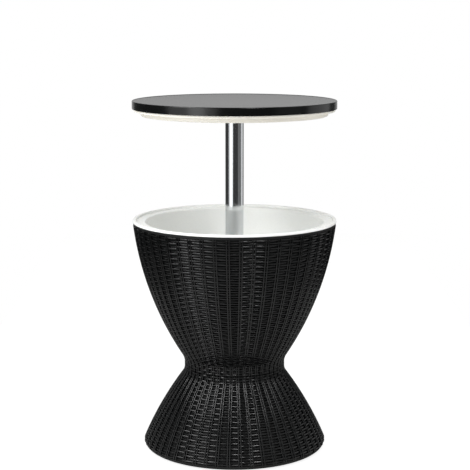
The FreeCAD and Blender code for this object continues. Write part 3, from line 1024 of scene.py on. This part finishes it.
@dataclass
class DrainPlug:
    """The screw plug in the tub's floor, with its rubber ring.

    The ring is drawn a hair lower than the plug's head, so that the two never share a face.
    """

    spot: Spot = Tub.drain_spot
    seat: float = Tub.floor
    bore: float = Tub.drain_bore
    ring_height: float = 0.002
    ring_width: float = 0.003
    ring_round: float = 0.0005
    ring_gap: float = 0.00005
    head_radius: float = 0.0195
    head_height: float = 0.005
    head_round: float = 0.0018
    head_under_round: float = 0.0006
    stem_radius: float = 0.0124
    stem_wall: float = 0.003
    stem_length: float = 0.014
    stem_round: float = 0.0008
    stem_bore_round: float = 0.0004
    grip_length: float = 0.0245
    grip_width: float = 0.007
    grip_height: float = 0.011
    grip_waist: float = 0.22
    grip_cuts: int = 3

    def grip(self) -> bpy.types.Object:
        """Builds the grip bar as a slightly waisted block on the plug's head.

        Returns:
            The bar.
        """
        low = self.seat + self.ring_height + self.head_height
        work = bmesh.new()
        bmesh.ops.create_cube(work, size=1.0)
        bmesh.ops.subdivide_edges(work, edges=list(work.edges), cuts=self.grip_cuts,
                                  use_grid_fill=True)
        for vert in work.verts:
            # The unit cube has its middle at zero.
            up = vert.co.z + 0.5
            waist = 1 - self.grip_waist * math.cos(math.pi * vert.co.x) * up
            vert.co = Vector((self.spot[0] + vert.co.x * self.grip_length,
                              self.spot[1] + vert.co.y * self.grip_width * waist,
                              low + up * self.grip_height))
        mesh = bpy.data.meshes.new("grip")
        work.to_mesh(mesh)
        work.free()
        return placed("grip", mesh)

    def build(self) -> None:
        """Builds ring, head, stem and grip."""
        top = self.seat + self.ring_height
        ring_top, ring_edge = top - self.ring_gap, self.bore + self.ring_width
        ring = turned("drain_ring_rubber", [
            (self.bore, self.seat, 0), (ring_edge, self.seat, self.ring_round),
            (ring_edge, ring_top, self.ring_round), (self.bore, ring_top, 0)],
            SMALL_TURN, self.spot)
        finish_piece(ring, MATT_RUBBER, Body.DRAIN_RING, "drain_seal")
        low, hollow = top - self.stem_length, self.stem_radius - self.stem_wall
        head = turned("plug_head", [
            (0, top + self.head_height, 0),
            (self.head_radius, top + self.head_height, self.head_round),
            (self.head_radius, top, self.head_under_round), (self.stem_radius, top, 0),
            (self.stem_radius, low, self.stem_round), (hollow, low, self.stem_bore_round),
            (hollow, top, 0), (0, top, 0)], SMALL_TURN, self.spot)
        plug = joined("plug_with_grip", [head, self.grip()])
        finish_piece(plug, WHITE_NYLON, Body.DRAIN_SCREW, "drain_plug")


@dataclass
class TableTop:
    """The black disc with its raised edge, and the white insulated lid under it."""

    radius: float = 0.248
    under: float = 0.841
    top: float = 0.8605
    surface: float = 0.8597
    edge_round: float = 0.0016
    raised_width: float = 0.0035
    raised_slope: float = 0.0012
    raised_round: float = 0.0009
    skirt: float = 0.003
    skirt_round: float = 0.0004
    plate_under: float = 0.8562
    pad_radius: float = 0.050
    pad_under: float = 0.852
    flange_radius: float = 0.2435
    flange_under: float = 0.835
    flange_top: float = 0.846
    flange_round: float = 0.0009
    flange_root: float = 0.0012
    plug_radius: float = 0.2265
    plug_round: float = 0.0028
    lid_under: float = 0.824
    lid_wall: float = 0.003
    panel_radius: float = 0.190
    panel_rise: float = 0.004
    panel_slope: float = 0.001
    panel_round: float = 0.0015
    broken_edge: float = 0.0005
    step_round: float = 0.0008
    root_round: float = 0.001
    socket_hole: float = 0.0279
    screw_circle: float = 0.205
    screw_count: int = 4
    hole_radius: float = 0.0023
    hole_sides: int = 24
    hole_below: float = 0.01
    hole_above: float = 0.002

    def disc(self) -> bpy.types.Object:
        """Turns the black disc with its real edge rounding.

        Returns:
            The disc.
        """
        inside, inner_skirt = self.radius - self.raised_width, self.radius - self.skirt
        return turned("top_disc", [
            (0, self.surface, 0), (inside - self.raised_slope, self.surface, self.raised_round),
            (inside, self.top, self.broken_edge), (self.radius, self.top, self.edge_round),
            (self.radius, self.under, self.broken_edge), (inner_skirt, self.under, self.skirt_round),
            (inner_skirt, self.plate_under, self.root_round),
            (self.pad_radius, self.plate_under, self.step_round),
            (self.pad_radius, self.pad_under, self.broken_edge), (0, self.pad_under, 0)],
            2 * FINE_TURN)

    def lid(self) -> bpy.types.Object:
        """Turns the white lid: flange, plug step with its soft lower edge, and raised panel.

        Returns:
            The lid with its screw holes.
        """
        seat, panel = self.lid_under + self.lid_wall, self.lid_under + self.panel_rise
        inner_plug, inner_panel = self.plug_radius - self.lid_wall, self.panel_radius + self.lid_wall
        lid = turned("lid_tray", [
            (self.socket_hole, panel, self.broken_edge), (self.panel_radius, panel, self.panel_round),
            (self.panel_radius + self.panel_slope, self.lid_under, self.panel_round),
            (self.plug_radius, self.lid_under, self.plug_round),
            (self.plug_radius, self.flange_under, self.flange_root),
            (self.flange_radius, self.flange_under, self.flange_round),
            (self.flange_radius, self.flange_top, self.broken_edge),
            (inner_plug, self.flange_top, self.broken_edge), (inner_plug, seat, self.root_round),
            (inner_panel, seat, self.step_round),
            (inner_panel, panel + self.lid_wall, self.step_round),
            (self.socket_hole, panel + self.lid_wall, 0)], 2 * FINE_TURN)
        low, high = self.lid_under - self.hole_below, seat + self.hole_above
        cut_away(lid, [lathe("hole", [(0, low), (self.hole_radius, low), (self.hole_radius, high),
                                      (0, high)], self.hole_sides, spot)
                       for spot in ring_spots(self.screw_circle, self.screw_count)])
        return lid

    def build(self) -> None:
        """Builds disc and lid."""
        finish_piece(self.disc(), TEXTURED_TOP, Body.TABLE, "table_top")
        finish_piece(self.lid(), LID_WHITE, Body.TABLE, "lid_liner")


@dataclass
class Column:
    """The bright column, its socket under the table top, and the bush that it runs in."""

    radius: float = 0.0225
    wall: float = 0.0015
    bottom: float = 0.3546
    top: float = 0.8478
    end_round: float = 0.0004
    tube_sides: int = 128
    nylon_sides: int = 96
    nylon_edge: float = 0.0006
    socket_radius: float = 0.0276
    socket_bore: float = 0.0226
    socket_low: float = 0.8128
    socket_round: float = 0.0012
    socket_root: float = 0.002
    flange_radius: float = 0.045
    flange_top: float = 0.8518
    riser_top: float = Tub.riser_top
    cap_radius: float = 0.035
    cap_thickness: float = 0.009
    cap_round: float = 0.003
    cap_mouth: float = 0.001
    cap_under_round: float = 0.0008
    bush_radius: float = 0.0244
    bush_length: float = 0.06056

    def build(self) -> None:
        """Builds tube, socket and bush."""
        bore, edge = self.radius - self.wall, self.nylon_edge
        tube = turned("column_tube", [
            (self.radius, self.bottom, self.end_round), (self.radius, self.top, self.end_round),
            (bore, self.top, 0), (bore, self.bottom, 0)], self.tube_sides)
        finish_piece(tube, DRAWN_ALUMINIUM, Body.TABLE, "upper_tube")
        socket = turned("column_socket", [
            (self.socket_bore, self.socket_low, edge),
            (self.socket_radius, self.socket_low, self.socket_round),
            (self.socket_radius, self.top, self.socket_root), (self.flange_radius, self.top, edge),
            (self.flange_radius, self.flange_top, edge), (self.socket_bore, self.flange_top, 0)],
            self.nylon_sides)
        finish_piece(socket, WHITE_NYLON, Body.TABLE, "top_hub")
        cap_top, bush_low = self.riser_top + self.cap_thickness, self.riser_top - self.bush_length
        bush = turned("riser_cap", [
            (self.socket_bore, cap_top, self.cap_mouth), (self.cap_radius, cap_top, self.cap_round),
            (self.cap_radius, self.riser_top, self.cap_under_round),
            (self.bush_radius, self.riser_top, 0), (self.bush_radius, bush_low, edge),
            (self.socket_bore, bush_low, edge)], self.nylon_sides)
        finish_piece(bush, WHITE_NYLON, Body.COOLER, "guide_bush")


@dataclass(frozen=True)
class ScrewRing:
    """A ring of equal screws that point up: where they sit, and the node that they stand for."""

    name: str
    node: str
    body: Body
    circle: float
    count: int
    seat: float
    length: float


@dataclass
class Screws:
    """The pan-head screws that show, each with a cross recess.

    The recess is a funnel that is drawn in between the arms of the cross: its radius swings with the
    angle round the screw, and stays over its least share.
    """

    head_radius: float = 0.0038
    head_height: float = 0.0022
    head_round: float = 0.0013
    shank_radius: float = 0.0019
    point: float = 0.002
    recess_radius: float = 0.0020
    recess_depth: float = 0.0013
    recess_floor: float = 0.55
    cross_arms: int = 4
    cross_mean: float = 0.62
    cross_swing: float = 0.38
    cross_least: float = 0.3
    slack: float = 1.01
    round_steps: int = 4
    sides: int = 48
    rings: tuple[ScrewRing, ...] = (
        ScrewRing("lid_screw_ring", "lid_screws", Body.TABLE, TableTop.screw_circle,
                  TableTop.screw_count, TableTop.lid_under, 0.015),
        ScrewRing("base_screw_ring", "base_screws", Body.COOLER, 0.189, 4, 0.0035, 0.014))

    def screw(self, spot: Spot, seat: float, length: float) -> bpy.types.Object:
        """Turns one screw: rounded head with its recess, shank and pointed end.

        Args:
            spot: Where it stands.
            seat: The height of the head's upper face.
            length: How far the shank reaches above the seat.

        Returns:
            The screw.
        """
        low, tip = seat - self.head_height, seat + length
        piece = lathe("screw", filleted([
            (0, low + self.recess_depth, 0),
            (self.recess_radius * self.recess_floor, low + self.recess_depth, 0),
            (self.recess_radius, low, 0), (self.head_radius, low, self.head_round),
            (self.head_radius, seat, 0), (self.shank_radius, seat, 0),
            (self.shank_radius, tip - self.point, 0), (0, tip, 0)], self.round_steps),
            self.sides, spot)
        recess_top, recess_reach = low + self.recess_depth * self.slack, self.recess_radius * self.slack
        for vert in piece.data.vertices:
            across = Vector((vert.co.x - spot[0], vert.co.y - spot[1]))
            if vert.co.z < recess_top and TINY < across.length <= recess_reach:
                angle = math.atan2(across.y, across.x)
                share = self.cross_mean + self.cross_swing * math.cos(self.cross_arms * angle)
                vert.co.x = spot[0] + across.x * max(share, self.cross_least)
                vert.co.y = spot[1] + across.y * max(share, self.cross_least)
        return piece

    def build(self) -> None:
        """Builds the screws of the lid and those of the base plate."""
        for ring in self.rings:
            screws = joined(ring.name, [self.screw(spot, ring.seat, ring.length)
                                        for spot in ring_spots(ring.circle, ring.count)])
            finish_piece(screws, ZINC_STEEL, ring.body, ring.node)


@dataclass
class Underside:
    """The base plate with its drain slots and its rubber pads."""

    plate_radius: float = 0.200
    bottom: float = Hourglass.base_bottom
    top: float = WickerBody.plate_seat
    under_round: float = 0.0008
    top_round: float = 0.0004
    cup_radius: float = 0.0309
    cup_bore: float = Tub.riser_bore
    cup_top: float = 0.053
    cup_root: float = 0.002
    cup_round: float = 0.001
    bolt_seat: float = 0.010
    guide_foot: float = 0.013
    recess_radius: float = 0.014
    recess_round: float = 0.0006
    bolt_hole: float = 0.0043
    slot_radius: float = 0.110
    slot_length: float = 0.030
    slot_width: float = 0.008
    slot_count: int = 6
    slot_steps: int = 8
    slot_cut: float = 0.01
    pad_circle: float = 0.160
    pad_radius: float = 0.012
    pad_round: float = 0.0008
    pad_count: int = 6
    pad_top: float = 0.003

    def slot(self, angle: float) -> bpy.types.Object:
        """Builds the cutter of one drain slot, a bar with round ends.

        Args:
            angle: The slot's angle round the axis, in radians.

        Returns:
            The cutter.
        """
        half, end = self.slot_width / 2, self.slot_radius + self.slot_length
        outline = []
        for centre, first in ((end - half, -math.pi / 2), (self.slot_radius + half, math.pi / 2)):
            for step in range(self.slot_steps + 1):
                lean = first + math.pi * step / self.slot_steps
                outline.append((centre + half * math.cos(lean), half * math.sin(lean)))
        verts = [(x * math.cos(angle) - y * math.sin(angle),
                  x * math.sin(angle) + y * math.cos(angle), height)
                 for height in (self.bottom - self.slot_cut, self.top + self.slot_cut)
                 for x, y in outline]
        count = len(outline)
        faces = [list(range(count)), list(range(count, 2 * count))]
        faces += [[side, (side + 1) % count, count + (side + 1) % count, count + side]
                  for side in range(count)]
        return new_object("slot", verts, faces)

    def build(self) -> None:
        """Builds plate and pads."""
        plate = turned("plate", [
            (self.bolt_hole, self.bolt_seat, 0), (self.recess_radius, self.bolt_seat, 0),
            (self.recess_radius, self.bottom, self.recess_round),
            (self.plate_radius, self.bottom, self.under_round),
            (self.plate_radius, self.top, self.top_round), (self.cup_radius, self.top, self.cup_root),
            (self.cup_radius, self.cup_top, self.cup_round), (self.cup_bore, self.cup_top, 0),
            (self.cup_bore, self.guide_foot, 0), (self.bolt_hole, self.guide_foot, 0)])
        cut_away(plate, [self.slot(TURN * number / self.slot_count)
                         for number in range(self.slot_count)])
        finish_piece(plate, PLAIN_BLACK, Body.COOLER, "base_plate")
        pads = joined("rubber_pads", [
            turned("pad", [(0, 0, 0), (self.pad_radius, 0, self.pad_round),
                           (self.pad_radius, self.pad_top, 0), (0, self.pad_top, 0)],
                   SMALL_TURN, spot) for spot in ring_spots(self.pad_circle, self.pad_count)])
        finish_piece(pads, MATT_RUBBER, Body.COOLER, "foot_pads")


KEPT_NODES: dict[str, Finish] = {
    "hub_screws": ZINC_STEEL, "column_screws": ZINC_STEEL, "tube_plug": GREY_NYLON,
    "lock_spindle": ZINC_STEEL, "lock_cone": GREY_NYLON, "spindle_nut": ZINC_STEEL,
    "lock_sleeve": GREY_NYLON, "guide_tube": GUIDE_STEEL, "guide_foot": GREY_NYLON,
    "foot_bolt": ZINC_STEEL}


def dress_kept_nodes() -> None:
    """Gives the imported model's own hidden pieces their finishes."""
    for name, finish in KEPT_NODES.items():
        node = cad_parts[name]
        slots = node.material_slots
        if not slots:
            node.data.materials.append(finish.material())
        for slot in slots:
            slot.material = finish.material()
        log.info("%s keeps its own shape in %s", name, finish.name)


# Studio

@dataclass(frozen=True)
class Softbox:
    """A soft light that looks at the table from an azimuth, left of the camera when negative."""

    name: str
    azimuth: float
    elevation: float
    distance: float
    width: float
    height: float
    brightness: float
    aim: Triple = (0.0, 0.0, 0.45)

    def build(self) -> None:
        """Adds the light, with the power that gives its face the wanted brightness."""
        light = bpy.data.lights.new(self.name, "AREA")
        light.shape = "RECTANGLE"
        light.size, light.size_y = self.width, self.height
        light.energy = self.brightness * math.pi * self.width * self.height
        lamp = placed(self.name, light)
        turn, lift = math.radians(self.azimuth), math.radians(self.elevation)
        aim = Vector(self.aim)
        away = Vector((math.sin(turn) * math.cos(lift), -math.cos(turn) * math.cos(lift),
                       math.sin(lift)))
        lamp.location = aim + away * self.distance
        lamp.rotation_euler = away.to_track_quat("Z", "Y").to_euler()
        lamp.visible_camera = False


@dataclass
class Studio:
    """Pale floor, white backdrop, soft lights and the camera that the photograph was fitted to."""

    camera_distance: float = 3.3536
    camera_height: float = 1.0933
    camera_pitch: float = 0.1669
    focal_pixels: float = 1384.46
    frame_pixels: float = 470.0
    centre_pixel: Spot = (234.5, 234.4)
    sensor_mm: float = 36.0
    floor_back: float = 3.2
    floor_front: float = 1.4
    floor_side: float = 0.8
    floor_paint: str = "B4B4B3"
    floor_share: float = 0.5
    floor_glow: float = 1.7
    back_edge: float = 0.85
    back_blend: float = 0.08
    front_gloss: float = 0.045
    back_gloss: float = 0.6
    fill_below: float = 1.0
    fill_above: float = 0.5
    fill_blend: float = 0.25
    softboxes: tuple[Softbox, ...] = (
        Softbox("left_scrim", -47.0, 10.0, 2.7, 2.9, 2.4, 0.9),
        Softbox("left_strip", -40.0, 8.0, 2.6, 0.8, 1.5, 1.7),
        Softbox("left_high", -60.0, 40.0, 2.6, 1.2, 0.9, 11.5),
        Softbox("right_scrim", 106.0, 10.0, 2.7, 2.0, 2.4, 0.66),
        Softbox("front_right_scrim", 60.0, 10.0, 2.75, 1.6, 2.4, 0.13),
        Softbox("right_high", 62.0, 38.0, 2.6, 1.1, 0.8, 2.0),
        Softbox("right_strip_high", 22.0, 50.0, 2.6, 0.3, 1.6, 18.0),
        Softbox("top_softbox", -10.0, 72.0, 2.6, 2.4, 1.8, 0.4))

    def camera(self) -> None:
        """Adds the camera at the fitted place, angle and lens."""
        data = bpy.data.cameras.new("photograph_view")
        data.sensor_width = self.sensor_mm
        data.lens = self.focal_pixels * self.sensor_mm / self.frame_pixels
        data.shift_x = (self.frame_pixels / 2 - self.centre_pixel[0]) / self.frame_pixels
        data.shift_y = (self.frame_pixels / 2 - self.centre_pixel[1]) / self.frame_pixels
        camera = placed("photograph_view", data)
        camera.location = (0.0, -self.camera_distance, self.camera_height)
        camera.rotation_euler = (math.pi / 2 - self.camera_pitch, 0.0, 0.0)
        bpy.context.scene.camera = camera

    def floor(self) -> None:
        """Adds the pale floor, which keeps the shadow and is white where nothing shades it."""
        side, front, back = self.floor_side, -self.floor_front, self.floor_back
        mesh = bpy.data.meshes.new("floor")
        mesh.from_pydata([(-side, front, 0), (side, front, 0), (side, back, 0), (-side, back, 0)],
                         [], [(0, 1, 2, 3)])
        floor = placed("floor", mesh)
        material = bpy.data.materials.new("floor_painted_board")
        material.use_nodes = True
        tree = material.node_tree
        tree.nodes.clear()
        seen = add_node(tree, "ShaderNodeLightPath")
        paint = add_node(tree, "ShaderNodeBsdfDiffuse", {"Color": linear(self.floor_paint)})
        glow = add_node(tree, "ShaderNodeEmission", {"Color": WHITE, "Strength": self.floor_glow})
        share = add_node(tree, "ShaderNodeMath",
                         {0: seen.outputs["Is Camera Ray"], 1: self.floor_share},
                         operation="MULTIPLY")
        lit = add_node(tree, "ShaderNodeMixShader",
                       {0: share.outputs[0], 1: paint.outputs[0], 2: glow.outputs[0]})
        add_node(tree, "ShaderNodeOutputMaterial", {"Surface": lit.outputs[0]})
        mesh.materials.append(material)

    def world(self) -> None:
        """Makes the world: white for the camera, a white backdrop in gloss, a soft fill besides."""
        world = bpy.data.worlds.new("studio")
        world.use_nodes = True
        bpy.context.scene.world = world
        tree = world.node_tree
        tree.nodes.clear()
        seen = add_node(tree, "ShaderNodeLightPath")
        way = add_node(tree, "ShaderNodeTexCoord")
        split = add_node(tree, "ShaderNodeSeparateXYZ", {"Vector": way.outputs["Generated"]})
        behind = add_node(tree, "ShaderNodeMapRange",
                          {"Value": split.outputs["Y"], "From Min": self.back_edge,
                           "From Max": self.back_edge + self.back_blend,
                           "To Min": self.front_gloss, "To Max": self.back_gloss})
        shiny = add_node(tree, "ShaderNodeMath",
                         {0: seen.outputs["Is Glossy Ray"], 1: seen.outputs["Is Transmission Ray"]},
                         operation="MAXIMUM")
        fill = add_node(tree, "ShaderNodeMapRange",
                        {"Value": split.outputs["Z"], "From Min": -self.fill_blend,
                         "From Max": self.fill_blend, "To Min": self.fill_below,
                         "To Max": self.fill_above})
        soft = add_node(tree, "ShaderNodeMix",
                        {0: shiny.outputs[0], MIX_FLOAT_A: fill.outputs["Result"],
                         MIX_FLOAT_B: behind.outputs["Result"]}, data_type="FLOAT")
        strength = add_node(tree, "ShaderNodeMix",
                            {0: seen.outputs["Is Camera Ray"], MIX_FLOAT_A: soft.outputs[0],
                             MIX_FLOAT_B: 1.0}, data_type="FLOAT")
        light = add_node(tree, "ShaderNodeBackground",
                         {"Color": WHITE, "Strength": strength.outputs[0]})
        add_node(tree, "ShaderNodeOutputWorld", {"Surface": light.outputs[0]})

    def build(self) -> None:
        """Sets up camera, floor, world and lights."""
        bpy.context.scene.view_settings.view_transform = "Standard"
        self.camera()
        self.floor()
        self.world()
        for softbox in self.softboxes:
            softbox.build()


def main() -> None:
    """Builds the studio and every sub-assembly."""
    logging.basicConfig(level=logging.INFO, format="%(name)s: %(message)s")
    for assembly in (Studio(), WickerBody(), Tub(), DrainPlug(), TableTop(), Column(), Screws(),
                     Underside()):
        assembly.build()
    dress_kept_nodes()


if __name__ == "__main__":
    main()
